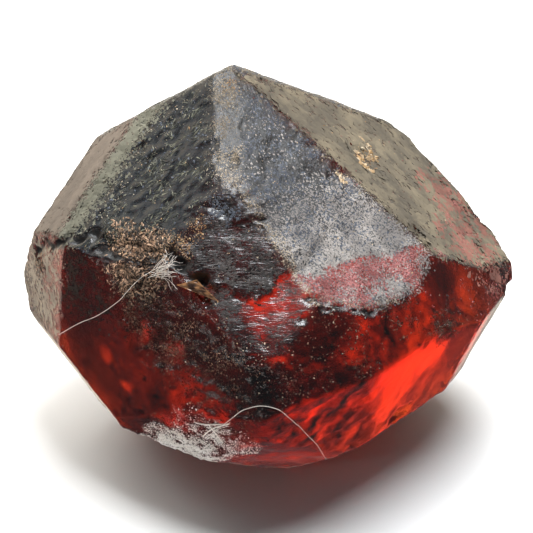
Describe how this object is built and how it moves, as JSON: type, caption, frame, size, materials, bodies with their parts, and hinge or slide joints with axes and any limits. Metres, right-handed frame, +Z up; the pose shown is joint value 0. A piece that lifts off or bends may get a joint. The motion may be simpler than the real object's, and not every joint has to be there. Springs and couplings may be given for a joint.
{
  "type": "rough garnet crystal",
  "caption": "Rough deep red garnet crystal with etched natural faces and worn edges, resting on a flat broken base.",
  "frame": {"origin": "on the surface the stone rests on, under the middle of its bounding box", "axes": "+Z up and away from the broken base, +Y towards the back of the stone, -Y towards the side that the picture shows, +X to the picture's right"},
  "size_m": [0.0262, 0.0274, 0.0208],
  "materials": {
    "garnet": "deep red clear crystal with etched, granular and worn natural faces"
  },
  "bodies": {
    "root": {"garnet_crystal": "garnet"}
  },
  "joints": []
}
